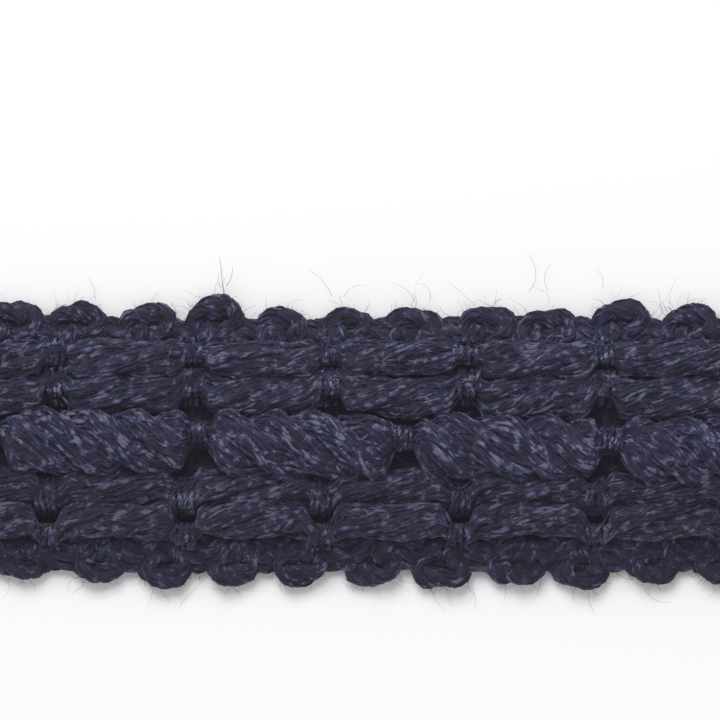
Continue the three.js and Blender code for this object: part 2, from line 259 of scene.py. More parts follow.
# The long hairs that stand out from the edges: where each starts, its heading in degrees, its length, how far
# it bends in all, in radians, and its radius. Then their curl, the height that they start at and their rise.
LONG_HAIRS = [
    (-7.3, 7.6, 92, 2.1, 0.3, 0.016), (-7.25, 8.3, 55, 1.1, 0.6, 0.013), (-7.4, 8.2, 125, 0.8, -0.5, 0.012),
    (-1.4, 7.6, 112, 1.9, 0.9, 0.009), (-0.95, 7.6, 72, 1.5, -1.1, 0.008), (2.9, 7.3, 98, 1.6, 1.3, 0.009),
    (3.6, 7.4, 60, 1.3, 1.6, 0.01), (8.8, 7.9, 42, 2.3, 1.7, 0.009), (10.2, 8.0, 128, 1.6, -1.3, 0.009),
    (12.9, 8.1, 76, 1.2, 1.0, 0.008), (3.8, -7.6, 280, 1.5, 0.8, 0.008), (5.9, -7.6, 300, 1.2, -0.9, 0.008),
    (12.3, -7.6, 258, 1.4, 0.6, 0.009), (15.1, -7.5, 290, 1.8, 1.1, 0.008), (-14.2, 7.5, 84, 1.3, 1.0, 0.008),
    (-11.0, -7.5, 262, 1.2, -0.8, 0.008),
]
HAIR_CURL, HAIR_HEIGHT, HAIR_RISE = 0.08, 0.7, 0.3

# The photograph's framing
PHOTO_SIDE = 38.57  # of the square that the picture covers
BRAID_BELOW_MIDDLE = 4.45  # of the braid's middle line, below the picture's
CAMERA_HEIGHT = 500.0
SENSOR = 36.0

# The wool's pattern, in millimetres along and round a lock
FLECK = (0.22, 0.16)  # clumps of fibres that catch the light: painted highlights in the colour, and lumps in the bump
FIBRE = (0.9, 0.03)  # single fibres
DYE = (6.0, 0.4)  # stretches where the dye took unevenly
MOTTLE = 0.55  # broad light and dark over all the wool, every way
FIBRE_CONTRAST, MOTTLE_CONTRAST = 0.3, 3.3
TONE_STOPS = (0.05, 0.5, 0.8, 1.0)  # where dark, middle, light and bright wool come
DYE_TINTS = [(0.33, (1.13, 0.94, 0.97, 1)), (0.67, (0.81, 1.0, 1.12, 1))]  # from redder to bluer
LUMP_HEIGHT, FIBRE_HEIGHT = 0.09, 0.02


# Colour and nodes

def linear(colour):
    """An sRGB colour of six hex digits as linear red, green, blue and alpha."""
    values = np.array(list(bytes.fromhex(colour))) / 255
    curve = np.where(values <= 0.04045, values / 12.92, ((values + 0.055) / 1.055) ** 2.4)
    return (*curve.tolist(), 1.0)


def add_node(tree, kind, settings=None, **links):
    """A node of a kind, with its settings by name and its inputs linked or set. An input's spaces are
    written as underscores, and an underscore and a number pick an input by its place."""
    node = tree.nodes.new(kind)
    for key, value in (settings or {}).items():
        setattr(node, key, value)
    for key, value in links.items():
        name = key.replace("_", " ")
        socket = node.inputs[int(key[1:])] if key[1:].isdigit() else node.inputs[name]
        if isinstance(value, bpy.types.NodeSocket):
            tree.links.new(value, socket)
        else:
            socket.default_value = value
    return node


def colour_ramp(tree, factor, stops):
    """A colour that runs through the stops, each a place from 0 to 1 and its colour."""
    node = add_node(tree, "ShaderNodeValToRGB", Fac=factor)
    node.color_ramp.elements[0].position, node.color_ramp.elements[0].color = stops[0]
    node.color_ramp.elements[1].position, node.color_ramp.elements[1].color = stops[-1]
    for place, colour in stops[1:-1]:
        node.color_ramp.elements.new(place).color = colour
    return node.outputs["Color"]


def scaled(tree, vector, across_x, across_yz):
    """A vector in millimetres as numbers that grow by one over each given distance."""
    factors = (1 / across_x, 1 / across_yz, 1 / across_yz)
    return add_node(tree, "ShaderNodeVectorMath", {"operation": "MULTIPLY"}, _0=vector, _1=factors).outputs[0]


def noise(tree, vector, detail, scale=1.0):
    """Smooth noise from 0 to 1 whose lumps are about 1 / scale of the vector's unit apart."""
    node = add_node(tree, "ShaderNodeTexNoise", Vector=vector, Scale=scale, Detail=detail)
    return node.outputs["Fac"]


def plus(tree, value, factor, base):
    """value times factor, added to base."""
    node = add_node(tree, "ShaderNodeMath", {"operation": "MULTIPLY_ADD"}, _0=value, _1=factor, _2=base)
    return node.outputs[0]


def new_material(name, **inputs):
    """A material, its nodes and its shader, with the shader's inputs set by name as in add_node."""
    material = bpy.data.materials.new(name)
    material.use_nodes = True
    shader = material.node_tree.nodes["Principled BSDF"]
    for key, value in inputs.items():
        shader.inputs[key.replace("_", " ")].default_value = value
    return material, material.node_tree, shader


def wool(name, dark, middle, light, bright, fleck=1.4, sheen=0.3):
    """Dyed wool, soft spun: dull, with short flecks of painted highlight where clumps of fibres catch the
    light, fine fibres along each lock, and locks of bluer and of redder navy where the dye took unevenly. lie
    is the place along and round a lock, and tone a lock's lightness, random and in part painted light and
    shade."""
    material, tree, shader = new_material(
        name, Roughness=0.7, Specular_IOR_Level=0.3,
        Sheen_Weight=sheen, Sheen_Roughness=0.4, Sheen_Tint=linear("a0a0c0"),
    )
    place = add_node(tree, "ShaderNodeTexCoord").outputs["Object"]
    tone = add_node(tree, "ShaderNodeAttribute", {"attribute_name": "tone"}).outputs["Fac"]
    lie = add_node(tree, "ShaderNodeAttribute", {"attribute_name": "lie"}).outputs["Vector"]
    flecks = noise(tree, scaled(tree, lie, *FLECK), 1.0)
    fibres = noise(tree, scaled(tree, lie, *FIBRE), 1.0)
    mottle = noise(tree, place, 2.0, 1 / (MOTTLE * MM))
    # the flecks lighten the colour as painted highlights
    value = plus(tree, flecks, fleck, tone)
    value = plus(tree, fibres, FIBRE_CONTRAST, value)
    value = plus(tree, mottle, MOTTLE_CONTRAST, value)
    # each noise is a half on average, which is taken off again
    value = plus(tree, value, 1.0, -(fleck + FIBRE_CONTRAST + MOTTLE_CONTRAST) / 2)
    colours = [linear(colour) for colour in (dark, middle, light, bright)]
    navy = colour_ramp(tree, value, list(zip(TONE_STOPS, colours)))
    dye = noise(tree, scaled(tree, lie, *DYE), 2.0)
    tint = colour_ramp(tree, dye, DYE_TINTS)
    multiply = {"data_type": "RGBA", "blend_type": "MULTIPLY"}
    dyed = add_node(tree, "ShaderNodeMix", multiply, _0=1.0, _6=navy, _7=tint)
    tree.links.new(dyed.outputs[2], shader.inputs["Base Color"])
    lumps = add_node(tree, "ShaderNodeBump", Strength=0.7, Distance=LUMP_HEIGHT * MM, Height=flecks)
    lumpy = lumps.outputs["Normal"]
    hairy = add_node(
        tree, "ShaderNodeBump", Strength=0.4, Distance=FIBRE_HEIGHT * MM, Height=fibres, Normal=lumpy
    )
    tree.links.new(hairy.outputs["Normal"], shader.inputs["Normal"])
    return material


# Meshes from rings

def add_object(name, data):
    """An object of a mesh, a lamp or a camera, in the scene."""
    new = bpy.data.objects.new(name, data)
    bpy.context.scene.collection.objects.link(new)
    return new


def unit(vectors):
    """Vectors at length one."""
    return vectors / np.maximum(np.linalg.norm(vectors, axis=-1, keepdims=True), 1e-12)


def tube_rings(paths, outward, radius, sides, thinness=1.0):
    """Rings of corners round each path. paths is (tubes, stations, 3), outward points away from the yarn's
    middle, and radius is (tubes, stations). Corner k of a ring stands at
    path + radius (thinness cos a_k outward + sin a_k sideways), a_k the k-th of sides equal angles."""
    tangent = unit(np.gradient(paths, axis=1))
    normal = unit(outward - (outward * tangent).sum(-1, keepdims=True) * tangent)
    sideways = np.cross(tangent, normal)
    angle = TURN * (np.arange(sides) + 0.5) / sides
    outwards = thinness * np.cos(angle)[:, None] * normal[:, :, None]
    aside = np.sin(angle)[:, None] * sideways[:, :, None]
    return paths[:, :, None] + radius[:, :, None, None] * (outwards + aside)


def tube_faces(rings, first):
    """The walls between rings and the closed ends, as a flat list of corners and the corners of each face."""
    tubes, stations, sides = rings.shape[:3]
    index = first + np.arange(tubes * stations * sides).reshape(tubes, stations, sides)
    beside = np.roll(index, -1, axis=2)
    walls = np.stack([index[:, :-1], beside[:, :-1], beside[:, 1:], index[:, 1:]], axis=-1).reshape(-1, 4)
    ends = np.concatenate([index[:, 0, ::-1], index[:, -1]])
    corners = np.concatenate([walls.ravel(), ends.ravel()])
    counts = np.concatenate([np.full(len(walls), 4), np.full(len(ends), sides)])
    return corners, counts


def mesh_piece(name, points, corners, counts, tone, lie, material, slot, nodes):
    """A piece from its points in millimetres and its faces, riding on the one body. tone and lie are what
    the wool reads at each point."""
    points[:, 2] = np.maximum(points[:, 2], FLOOR_GAP)  # pressed flat where it meets the floor
    mesh = bpy.data.meshes.new(name)
    mesh.vertices.add(len(points))
    mesh.vertices.foreach_set("co", (points * MM).astype(np.float32).ravel())
    mesh.loops.add(len(corners))
    mesh.loops.foreach_set("vertex_index", corners.astype(np.int32))
    mesh.polygons.add(len(counts))
    starts = np.concatenate([[0], np.cumsum(counts)[:-1]])
    for part, values in (("loop_start", starts), ("loop_total", counts)):
        mesh.polygons.foreach_set(part, values.astype(np.int32))
    mesh.polygons.foreach_set("use_smooth", np.ones(len(counts), bool))
    mesh.update(calc_edges=True)
    mesh.attributes.new("tone", "FLOAT", "POINT").data.foreach_set("value", tone.astype(np.float32))
    lies = mesh.attributes.new("lie", "FLOAT_VECTOR", "POINT").data
    lies.foreach_set("vector", lie.astype(np.float32).ravel())
    mesh.materials.append(material)
    piece = add_object(name, mesh)
    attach(piece, "root")
    if nodes:
        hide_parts(*nodes)
    return piece


def tube_lie(rng, along, radius, sides):
    """Where each corner of the rings is along its own tube and round it, in millimetres. Each tube starts
    at a place of its own, so that no two share their flecks."""
    angle = TURN * (np.arange(sides) + 0.5) / sides
    start = rng.uniform(0, 500, (len(radius), 1))
    run = np.broadcast_to((start + along)[:, :, None], (*radius.shape, sides))
    return np.stack([run, radius[:, :, None] * np.cos(angle), radius[:, :, None] * np.sin(angle)], axis=-1)


def tube_piece(name, tubes, material, slot, nodes=()):
    """A piece made of closed tubes: tubes is a list of (rings, tone, lie), tone one value a tube and
    station, lie one place a corner."""
    points, corners, counts, tones, lies, first = [], [], [], [], [], 0
    for rings, tone, lie in tubes:
        face_corners, face_counts = tube_faces(rings, first)
        points.append(rings.reshape(-1, 3))
        corners.append(face_corners)
        counts.append(face_counts)
        tones.append(np.repeat(tone.ravel(), rings.shape[2]))
        lies.append(lie.reshape(-1, 3))
        first += len(points[-1])
    joined = [np.concatenate(part) for part in (points, corners, counts, tones, lies)]
    mesh_piece(name, *joined, material, slot, nodes)


# Yarns

def drift(rng, count, along, size, shortest, longest):
    """Smooth wander, (count, stations): three sine waves along the yarn for each strand, of random pitch
    between shortest and longest and random phase, with size as their root mean square."""
    pitch = np.exp(rng.uniform(math.log(shortest), math.log(longest), (count, 3, 1)))
    phase = rng.uniform(0, TURN, (count, 3, 1))
    return size * math.sqrt(2 / 3) * np.sin(TURN * along / pitch + phase).sum(1)


def ply_core(rng, line, across, up, half_width, half_height, along, twist, ply, sides):
    """A ply's inside, as (rings, tone, lie) for tube_piece. The ply's middle stands at
    line + middle_share (half_width cos p across + half_height sin p up), p turning once in each lay, and
    its ring is the ellipse of CORE_SHARE ply_share of the yarn's half sizes round it."""
    turned = TURN * along / twist["lay"] + TURN * ply / twist["plies"]
    angle = TURN * np.arange(sides) / sides
    core = CORE_SHARE * twist["ply_share"]
    share_across = twist["middle_share"] * np.cos(turned)[:, None] + core * np.cos(angle)
    share_up = twist["middle_share"] * np.sin(turned)[:, None] + core * np.sin(angle)
    rings = line[:, None] + (half_width[:, None] * share_across)[..., None] * across[:, None]
    rings = rings + (half_height[:, None] * share_up)[..., None] * up[:, None]
    radius = half_height[None] * CORE_SHARE * twist["ply_share"]
    return rings[None], np.full((1, len(along)), CORE_PAINTED_SHADE_TONE), tube_lie(rng, along, radius, sides)


def sampled(places, along, rows):
    """Rows of values along a yarn, at other places along it."""
    return np.stack([np.interp(places, along, column) for column in rows.T], axis=-1)


def wool_locks(rng, line, across, up, half_width, half_height, along, twist):
    """Short tapered locks of fibres over the plies' outside, with both ends sunk into the ply. At t from 0
    to 1 along a lock, its angle round the ply is a + (1 - counter_twist) s / lay turns + stray (t - 1/2),
    s being the way from its middle, and it stands at ply_share (CORE_SHARE + lift sin pi t) from the ply's
    middle. Ten times as many are drawn, and the first that show are kept."""
    candidates = 10 * twist["locks"]
    centre = rng.uniform(along[0], along[-1], candidates)
    round_ply = rng.uniform(0, TURN, candidates)
    ply = rng.integers(0, twist["plies"], candidates) / twist["plies"]
    turned = TURN * (centre / twist["lay"] + ply)
    out_across = twist["middle_share"] * np.cos(turned) + twist["ply_share"] * np.cos(round_ply)
    out_up = twist["middle_share"] * np.sin(turned) + twist["ply_share"] * np.sin(round_ply)
    shown = (out_up > twist["lowest"]) & (np.hypot(out_across, out_up) > COVERED_WITHIN)
    shown &= np.abs(np.interp(centre, along, line[:, 1])) >= twist["covered"]
    chosen = np.flatnonzero(shown)[: twist["locks"]]
    centre, round_ply, ply = centre[chosen, None], round_ply[chosen, None], ply[chosen, None]
    count = len(chosen)
    place = centre + rng.uniform(*twist["lock_length"], (count, 1)) * (LOCK_SHARE - 0.5)
    ragged = rng.uniform(0, RAGGED_END, (count, 1))
    place = np.clip(place, along[0] - ragged, along[-1] + ragged)
    turned = TURN * (place / twist["lay"] + ply)
    angle = round_ply + (1 - twist["counter_twist"]) * TURN * (place - centre) / twist["lay"]
    angle = angle + rng.normal(0, twist["stray"], (count, 1)) * (LOCK_SHARE - 0.5)
    angle = angle + rng.normal(0, 0.5 * twist["stray"], (count, 1)) * np.sin(math.pi * LOCK_SHARE)
    lift = rng.uniform(*LOCK_LIFT, (count, 1))
    out = twist["ply_share"] * (CORE_SHARE + lift * np.sin(math.pi * LOCK_SHARE))
    wide = sampled(place, along, np.column_stack([half_width, half_height, line, across, up]))
    past_end = place - np.clip(place, along[0], along[-1])
    share_across = wide[..., 0] * (twist["middle_share"] * np.cos(turned) + out * np.cos(angle))
    share_up = wide[..., 1] * (twist["middle_share"] * np.sin(turned) + out * np.sin(angle))
    line_at, across_at, up_at = wide[..., 2:5], wide[..., 5:8], wide[..., 8:11]
    paths = line_at + share_across[..., None] * across_at + share_up[..., None] * up_at
    paths = paths + past_end[..., None] * unit(np.cross(across_at, up_at))
    outward = np.cos(angle)[..., None] * across_at + np.sin(angle)[..., None] * up_at
    tight = np.minimum(1, 0.5 + 0.5 * wide[..., 0] / half_width.max())  # thinner where a tie pinches them
    radius = twist["lock"] * rng.uniform(*LOCK_SIZES, (count, 1)) * LOCK_TAPER * tight
    # painted light and shade: higher locks are coloured lighter and lower ones darker, over a random spread
    tone = 0.5 + rng.normal(0, LOCK_TONE_SPREAD, (count, 1)) + LIFT_PAINTED_LIGHT * (lift - MIDDLE_LIFT)
    tone = np.broadcast_to(np.clip(tone, 0, 1), radius.shape)
    rings = tube_rings(paths, outward, radius, LOCK_SIDES, LOCK_THINNESS)
    return rings, tone, tube_lie(rng, place - centre, radius, LOCK_SIDES)


def soft_yarn(rng, line, across, up, half_width, half_height, along, twist):
    """A softly spun yarn's plies and locks, as (rings, tone, lie) for tube_piece."""
    form = (line, across, up, half_width, half_height, along, twist)
    return [ply_core(rng, *form, ply, CORE_SIDES) for ply in range(twist["plies"])] + [wool_locks(rng, *form)]


def fine_thread(rng, line, across, up, size, along, twist):
    """The strands and core of a single fine thread. A strand stands at ply_share of the thread's radius
    from its middle, at an angle that turns with the lay and wanders."""
    strands = twist["strands"]
    start = TURN * (np.arange(strands) + rng.uniform(-twist["shift"], twist["shift"], strands)) / strands
    angle = start[:, None] + TURN * along / twist["lay"] + drift(rng, strands, along, *twist["wander"])
    sunk = np.abs(drift(rng, strands, along, *twist["dip"])) + rng.uniform(0, twist["sunk"], (strands, 1))
    outward = np.cos(angle)[..., None] * across + np.sin(angle)[..., None] * up
    paths = line + (twist["ply_share"] * size * (twist["proud"] - sunk))[..., None] * outward
    uneven = 1 + drift(rng, strands, along, *twist["uneven"])
    radius = twist["strand"] * rng.uniform(*twist["strand_sizes"], (strands, 1)) * uneven
    # painted shade and light: a strand that lies lower is coloured darker, one that stands higher lighter
    tone = 0.5 + rng.normal(0, STRAND_TONE_SPREAD, (strands, 1)) - SINKING_PAINTED_SHADE * (sunk - MIDDLE_SUNK)
    tone = np.clip(tone, 0, 1)
    rings = tube_rings(paths, outward, radius, twist["sides"], twist["thinness"])
    core = ply_core(rng, line, across, up, size, size, along, twist, 0, 2 * twist["sides"])
    return [(rings, tone, tube_lie(rng, along, radius, twist["sides"])), core]


def swell(x, ties, tied_length, rounding):
    """0 under a tie and 1 in a float, rounded like a quarter circle: sqrt(1 - (1 - v)^2), v the way from the
    tie as a share of the rounding."""
    pitch = ties[1] - ties[0]
    past = np.mod(x - ties[0], pitch)
    way = (np.minimum(past, pitch - past) - tied_length / 2) / rounding
    return np.sqrt(1 - (1 - np.clip(way, 0, 1)) ** 2)


def between(low, high, share):
    """low at share 0 and high at share 1."""
    return low + (high - low) * share


def yarn_form(row, x):
    """A yarn's middle across and up, and its half sizes, at places along the trim: those in a float and
    under a tie, joined by swell, with the sway, and the spread in the float."""
    full = swell(x, row["ties"], row["tied_length"], row["rounding"])
    half_height = between(row["tied_height"], row["height"], full)
    half_width = between(row["tied_half"], row["half"], full)
    sway = np.sin(TURN * x / SWAY_PITCH)
    spread = row["spread"] * full * (1 - swell(x, CORD["ties"], 0.0, SPREAD_LENGTH))
    middle = between(row["tied_y"], row["y"], full) + row["aside"] * sway - np.sign(row["y"]) * spread
    return middle, UNDERSIDE + half_height, half_width + row["wider"] * sway * full + spread, half_height


def over_yarns(height, y, forms, clearance=0.0):
    """Heights at places across the trim, raised to the ellipses round the yarns where these are higher."""
    for middle_y, middle_z, half_width, half_height in forms:
        out = (y - middle_y) / (half_width + clearance)
        rise = middle_z + half_height * np.sqrt(np.clip(1 - out**2, 0, 1))
        height = np.maximum(height, np.where(np.abs(out) < 1, rise, 0))
    return height


def stations(step, ties=(), tied_length=0.0):
    """Even places along the trim, and closer ones where a tied yarn fills out again."""
    even = np.linspace(-HALF_LENGTH, HALF_LENGTH, int(LENGTH / step) + 1)
    out = tied_length / 2 + BESIDE_TIE
    close = np.add.outer(np.array(ties), np.concatenate([-out, out])).ravel()
    far_from_close = np.abs(np.subtract.outer(even, close)).min(1, initial=LENGTH) > CROWDED * step
    ends = np.abs(even) > HALF_LENGTH - step / 2
    close = close[np.abs(close) < HALF_LENGTH - END_MARGIN]
    return np.sort(np.concatenate([even[far_from_close | ends], close]))


def smoothed(values, window):
    """Values along a line, evened out by a raised cosine of so many, with the ends held."""
    soft = np.hanning(window)
    return np.convolve(np.pad(values, window // 2, mode="edge"), soft / soft.sum(), mode="valid")


def straight_directions(count):
    """The directions across and up at each station of a yarn that runs along the trim."""
    return np.tile([0.0, 1.0, 0.0], (count, 1)), np.tile([0.0, 0.0, 1.0], (count, 1))


def straight_yarn(rng, row, twist, material, slot):
    """A yarn laid along the trim, its place and its half sizes each a little uneven."""
    x = stations(twist["step"], row["ties"], row["tied_length"])
    y, z, half_width, half_height = yarn_form(row, x)
    y = y + drift(rng, 1, x, *YARN_WANDER)[0]
    half_width = half_width * (1 + drift(rng, 1, x, *YARN_UNEVEN)[0])
    half_height = half_height * (1 + drift(rng, 1, x, *YARN_UNEVEN)[0])
    line = np.stack([x, y, z], axis=1)
    tubes = soft_yarn(rng, line, *straight_directions(len(x)), half_width, half_height, x, twist)
    tube_piece(row["node"] + "_wool", tubes, material, slot, [row["node"]])


# The weft

def loop_places():
    """Each loop's place along the trim, its crown's distance from the middle line and its edge, 1 or -1,
    in the order that the weft makes them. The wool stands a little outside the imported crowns."""
    places = []
    for n in range(-SCALLOPS // 2, SCALLOPS // 2 + 1):
        known = 0 <= n - FIRST_UNEVEN_LOOP < len(UNEVEN_LOOPS)
        row = UNEVEN_LOOPS[n - FIRST_UNEVEN_LOOP] if known else EVEN_LOOP
        for sign, phase, (aside, short) in ((1, UPPER_LOOP_X, row[:2]), (-1, LOWER_LOOP_X, row[2:])):
            crown = HALF_WIDTH + LOOP_STANDS_PROUD - short
            places.append((phase + n * SCALLOP_PITCH + aside, crown, sign))
    return places


def weft_line():
    """The weft's middle line from the left end to the right: round each upper loop, aslant across the
    trim, round the lower loop, and back. Turns are squarish ellipses, cos t across and sin t out, each to
    its power in LOOP_ROUNDNESS, open at the foot and drawn in to the legs."""
    turn = np.linspace(*LOOP_TURN, LOOP_POINTS) * math.pi
    aside = np.sign(np.cos(turn)) * np.abs(np.cos(turn)) ** LOOP_ROUNDNESS[0]
    rise = np.sign(np.sin(turn)) * np.abs(np.sin(turn)) ** LOOP_ROUNDNESS[1]
    left, right = [-LOOP_HALF_NECK, -LOOP_HALF_NECK], [LOOP_HALF_NECK, LOOP_HALF_NECK]
    arcs = []
    for x, crown, sign in loop_places():
        along = x + np.concatenate([left, LOOP_HALF_GAP * aside, right])
        out = crown - WEFT_RADIUS - LOOP_TURN_HEIGHT * (1 - rise)
        out = np.concatenate([[LEG_FOOT, LEG_TOP], out, [LEG_TOP, LEG_FOOT]])
        arcs.append(np.stack([along, sign * out], axis=1))
    corners = np.concatenate(arcs)
    run = np.concatenate([[0], np.cumsum(np.linalg.norm(np.diff(corners, axis=0), axis=1))])
    fine = np.arange(0, run[-1], WEFT_TWIST["step"] / 4)
    line = np.stack([smoothed(np.interp(fine, run, corners[:, k]), WEFT_WINDOW) for k in (0, 1)], axis=1)
    from_middle = np.abs(line[:, 1])
    hidden, on_the_face = from_middle < WEFT_TWIST["covered"], from_middle < WEFT_FACE
    stride = np.select([hidden, on_the_face], WEFT_STRIDES[:2], WEFT_STRIDES[2])
    keep = np.arange(len(line)) % stride == 0
    inside = np.abs(line[:, 0]) < HALF_LENGTH - END_MARGIN
    return line[keep & inside], fine[keep & inside]


def darker(rings):
    """How much painted shade darkens the weft at its rings: by a share that grows from 0 to 1 over each fade.
    """
    from_middle = np.abs(rings[..., 1]).mean(2)
    turned = np.clip((from_middle - TURN_STARTS) / TURN_FADE, 0, 1)
    laid_over = np.clip((LAID_OVER_WITHIN - from_middle) / LAID_OVER_FADE, 0, 1)
    return TURN_PAINTED_SHADE * turned + LAID_OVER_PAINTED_SHADE * laid_over


def weft_piece(rng, material):
    """The weft as a soft yarn along its line, across being up x tangent, fuller beside the laid yarns."""
    flat, along = weft_line()
    from_middle = np.abs(flat[:, 1])
    line = np.column_stack([flat, np.interp(from_middle, *np.array(WEFT_HEIGHTS).T)])
    up = straight_directions(len(line))[1]
    across = unit(np.cross(up, unit(np.gradient(line, axis=0))))
    fuller = 1 + drift(rng, 1, along, *WEFT_UNEVEN)[0]
    half_width = WEFT_RADIUS * fuller * np.interp(from_middle, *np.array(WEFT_FULLNESS).T)
    half_height = WEFT_HALF_HEIGHT * fuller
    tubes = soft_yarn(rng, line, across, up, half_width, half_height, along, WEFT_TWIST)
    # painted shade: the weft is coloured darker in its turns and where the laid yarns lie over it
    tubes = [(rings, tone - darker(rings), lie) for rings, tone, lie in tubes]
    tube_piece("weft_loops_wool", tubes, material, "ground", ["ground_band"])


# The edge yarns

def leg_distance(x, sign):
    """How far each place along the trim is from the nearest leg of a loop on an edge, as a share of half
    the space between legs, 0 on a leg and 1 midway."""
    middles = np.array([place[0] for place in loop_places() if place[2] == sign])
    legs = np.concatenate([middles - LOOP_HALF_NECK, middles + LOOP_HALF_NECK])
    distance = np.abs(x[:, None] - legs).min(1)
    return np.clip(distance / (SCALLOP_PITCH / 4), 0, 1)


def edge_yarns(rng, material):
    """Soft yarns along both edges. With f = (1 - cos pi d) / 2, d the distance from a leg of leg_distance,
    each stands EDGE_OUT f further out and EDGE_ARCH f higher, and its radius is EDGE_ON_LEG + EDGE_FULLER f
    of its own."""
    x = stations(EDGE_TWIST["step"])
    across, up = straight_directions(len(x))
    tubes = []
    for sign in (1, -1):
        free = 0.5 - 0.5 * np.cos(math.pi * leg_distance(x, sign))
        for inside, radius, height in EDGE_YARNS:
            y = sign * (EDGE_LINE[sign] - inside + EDGE_OUT * free) + drift(rng, 1, x, *EDGE_WANDER)[0]
            line = np.column_stack([x, y, height + EDGE_ARCH * free])
            size = radius * (EDGE_ON_LEG + EDGE_FULLER * free)
            tubes += soft_yarn(rng, line, across, up, size, EDGE_FLATNESS * size, x, EDGE_TWIST)
    tube_piece("edge_yarn_wool", tubes, material, "ground", ["ground_band"])


# The ground cloth

def ground_cloth(material):
    """The woven ground between the loops. Its top is z = level + over + round: each warp thread rises over
    one weft crossing and falls under the next, its neighbours the other way, and is rounded across. The
    underside repeats the top a thickness lower, and a rim closes the two."""
    warp_pitch, level, thickness = 0.55, 0.62, 0.43
    rise, roundness, waist = 0.16, 0.2, 0.012
    # painted shade: the ground's tone is darker than the wool over it
    half_width, step, columns, painted_shade_tone = 6.3, 0.5, 92, 0.3
    x = stations(step)
    y = np.linspace(-half_width, half_width, columns)
    grid_x, grid_y = np.meshgrid(x, y, indexing="ij")
    thread = np.floor(grid_y / warp_pitch)
    from_middle = 2 * (grid_y / warp_pitch - thread) - 1
    slant = between(LOWER_LOOP_X, UPPER_LOOP_X + SCALLOP_PITCH / 2, (grid_y + HALF_WIDTH) / (2 * HALF_WIDTH))
    over = rise * np.cos(TURN * (grid_x - slant) / SCALLOP_PITCH + math.pi * thread)
    top = level + over + roundness * np.sqrt(np.clip(1 - from_middle**2, 0, 1))
    wide = 1 - waist * np.cos(TURN * grid_x / SCALLOP_PITCH)
    rows = len(x)
    upper = np.stack([grid_x, grid_y * wide, top], axis=-1).reshape(-1, 3)
    lower = upper - [0, 0, thickness]
    points = np.concatenate([upper, lower])
    index = np.arange(rows * columns).reshape(rows, columns)
    quads = np.stack([index[:-1, :-1], index[1:, :-1], index[1:, 1:], index[:-1, 1:]], axis=-1).reshape(-1, 4)
    below = quads[:, ::-1] + rows * columns
    rim = np.concatenate([index[:-1, 0], index[-1, :-1], index[:0:-1, -1], index[0, :0:-1]])
    after = np.roll(rim, -1)
    walls = np.stack([after, rim, rim + rows * columns, after + rows * columns], axis=-1)
    faces = np.concatenate([quads, below, walls])
    tone = np.full(len(points), painted_shade_tone)
    counts = np.full(len(faces), 4)
    lie = points * [1.0, 1.0, 0.3]  # the pattern runs less fast up the threads' sides
    piece = mesh_piece(
        "ground_cloth", points, faces.ravel(), counts, tone, lie, material, "ground", ["ground_band"]
    )


# The binding threads

def band_path(forms, shown, from_y, to_y, count):
    """A thread's line over tied yarns, evenly spaced: at each place across, the highest of the ellipses
    round the yarns and no lower than the bottom of the holes between, plus THREAD_RISE within the shown
    stretches (middle, half length) and THREAD_SUNK elsewhere."""
    y = np.linspace(from_y, to_y, PATH_SAMPLES)
    height = over_yarns(np.full_like(y, HOLE_FLOOR), y, forms, THREAD_CLEARANCE)
    bare = np.max([np.clip(2 - 2 * np.abs(y - middle) / half, 0, 1) for middle, half in shown], axis=0)
    height = smoothed(height + between(THREAD_SUNK, THREAD_RISE, bare), PATH_WINDOW)
    run = np.concatenate([[0], np.cumsum(np.hypot(np.diff(y), np.diff(height)))])
    even = np.linspace(0, run[-1], count)
    return np.interp(even, run, y), np.interp(even, run, height), even


def thread_band(rng, node, x, yarns, ground, shown, from_y, to_y, threads, material):
    """Several fine threads side by side over tied yarns and ground threads, each wandering a little along
    the trim, and each over the yarns as wide as they are where it lies."""
    reach = abs(to_y - from_y)
    slope, bow = rng.normal(0, BAND_SLOPE), rng.normal(0, BAND_BOW)
    count = int(PATH_SLACK * reach / THREAD_TWIST["step"])
    share = np.linspace(-1, 1, count)
    across = np.tile([1.0, 0.0, 0.0], (count, 1))
    tubes = []
    for k in range(threads):
        aside = (k - (threads - 1) / 2) * THREAD_PITCH * rng.uniform(*THREAD_PITCHES)
        forms = [yarn_form(row, x + THREAD_SPREADS * aside) for row in yarns] + ground
        y, z, along = band_path(forms, shown, from_y, to_y, count)
        place = x + aside + slope * share * reach / 2 + bow * share**2
        place = place + drift(rng, 1, along, *THREAD_WANDER)[0]
        line = np.column_stack([place, y, z + drift(rng, 1, along, *THREAD_WAVER)[0]])
        up = unit(np.cross(unit(np.gradient(line, axis=0)), across))
        size = np.full(count, THREAD_RADIUS * rng.uniform(*THREAD_SIZES))
        tubes += fine_thread(rng, line, across, up, size, along, THREAD_TWIST)
    tube_piece(node + "_threads", tubes, material, "binding_thread", [node])


def side_bands(rng, upper_material, lower_material):
    """The bands over the side yarns and over the ground threads beside them."""
    upper = ("upper", 1, UPPER_TIE_X, UPPER_SHOWN, upper_material)
    lower = ("lower", -1, LOWER_TIE_X, LOWER_SHOWN, lower_material)
    for edge, sign, ties, shown, material in (upper, lower):
        yarns = [row for row in SIDE_YARNS if row["ties"] is ties]
        ground = [(sign * out, *sizes) for out, *sizes in GROUND_THREADS]
        ends = [sign * end for end in SIDE_BAND_ENDS]
        for k, x in enumerate(ties):
            node = f"{edge}_tie_{k + 1}"
            thread_band(rng, node, x, yarns, ground, shown, *ends, SIDE_TIE_THREADS, material)


